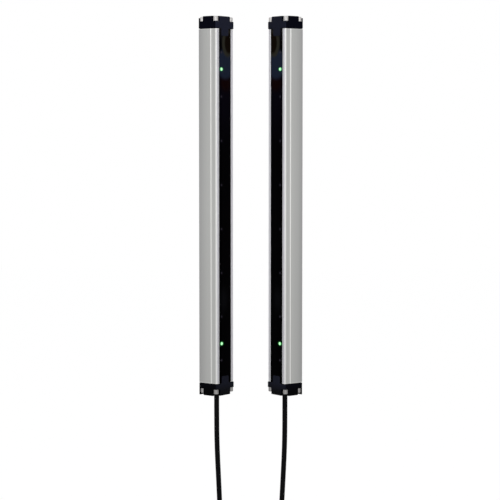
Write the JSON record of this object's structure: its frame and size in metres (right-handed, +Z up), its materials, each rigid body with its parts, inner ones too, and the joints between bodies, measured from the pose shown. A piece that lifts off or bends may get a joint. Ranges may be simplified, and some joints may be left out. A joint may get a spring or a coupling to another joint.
{
  "type": "safety light curtain",
  "caption": "Safety light curtain: matched emitter and receiver bars of aluminium with a dark front window and moulded end caps, each with a cord hanging from its lower cap.",
  "frame": {"origin": "midway between the axes of the two bars, level with the undersides of their lower caps", "axes": "+Z up along the bars, +X from the emitter bar to the receiver bar, -Y towards the side that the windows are turned to"},
  "size_m": [0.12, 0.0411, 0.684],
  "materials": {
    "anodised_aluminium": "satin",
    "tinted_window": "gloss",
    "seal_foam": "matt",
    "cap_moulding": "matt",
    "gasket_rubber": "matt",
    "zinc_plated_steel": "satin",
    "black_rail": "matt",
    "clear_lens": "clear",
    "diode_resin": "gloss",
    "circuit_board": "satin",
    "connector_plastic": "matt",
    "core_insulation": "satin",
    "green_indicator": "gloss",
    "zone_light_guide": "gloss",
    "cord_jacket": "satin",
    "plug_moulding": "matt",
    "nickel_plated_brass": "satin",
    "plug_insert_plastic": "matt",
    "gold_contact": "gloss"
  },
  "bodies": {
    "root": {"emitter_profile": "anodised_aluminium", "emitter_window": "tinted_window", "emitter_window_seal": "seal_foam", "emitter_top_cap": "cap_moulding", "emitter_bottom_cap": "cap_moulding", "emitter_top_gasket": "gasket_rubber", "emitter_bottom_gasket": "gasket_rubber", "emitter_top_screws": "zinc_plated_steel", "emitter_bottom_screws": "zinc_plated_steel", "emitter_optics_rail": "black_rail", "emitter_lens_strip": "clear_lens", "emitter_beam_diodes": "diode_resin", "emitter_beam_board": "circuit_board", "emitter_control_board": "circuit_board", "emitter_board_headers": "connector_plastic", "emitter_cord_terminal": "connector_plastic", "emitter_core_bundle": "core_insulation", "emitter_status_indicators": "green_indicator", "emitter_zone_indicators": "zone_light_guide", "emitter_cord_grommet": "gasket_rubber", "emitter_cord_clamp": "connector_plastic", "emitter_cord": "cord_jacket", "emitter_plug_body": "plug_moulding", "emitter_plug_collar": "nickel_plated_brass", "emitter_plug_insert": "plug_insert_plastic", "emitter_plug_pins": "gold_contact", "receiver_profile": "anodised_aluminium", "receiver_window": "tinted_window", "receiver_window_seal": "seal_foam", "receiver_top_cap": "cap_moulding", "receiver_bottom_cap": "cap_moulding", "receiver_top_gasket": "gasket_rubber", "receiver_bottom_gasket": "gasket_rubber", "receiver_top_screws": "zinc_plated_steel", "receiver_bottom_screws": "zinc_plated_steel", "receiver_optics_rail": "black_rail", "receiver_lens_strip": "clear_lens", "receiver_beam_diodes": "diode_resin", "receiver_beam_board": "circuit_board", "receiver_control_board": "circuit_board", "receiver_board_headers": "connector_plastic", "receiver_cord_terminal": "connector_plastic", "receiver_core_bundle": "core_insulation", "receiver_status_indicators": "green_indicator", "receiver_zone_indicators": "zone_light_guide", "receiver_cord_grommet": "gasket_rubber", "receiver_cord_clamp": "connector_plastic", "receiver_cord": "cord_jacket", "receiver_plug_body": "plug_moulding", "receiver_plug_collar": "nickel_plated_brass", "receiver_plug_insert": "plug_insert_plastic", "receiver_plug_pins": "gold_contact"}
  },
  "joints": []
}
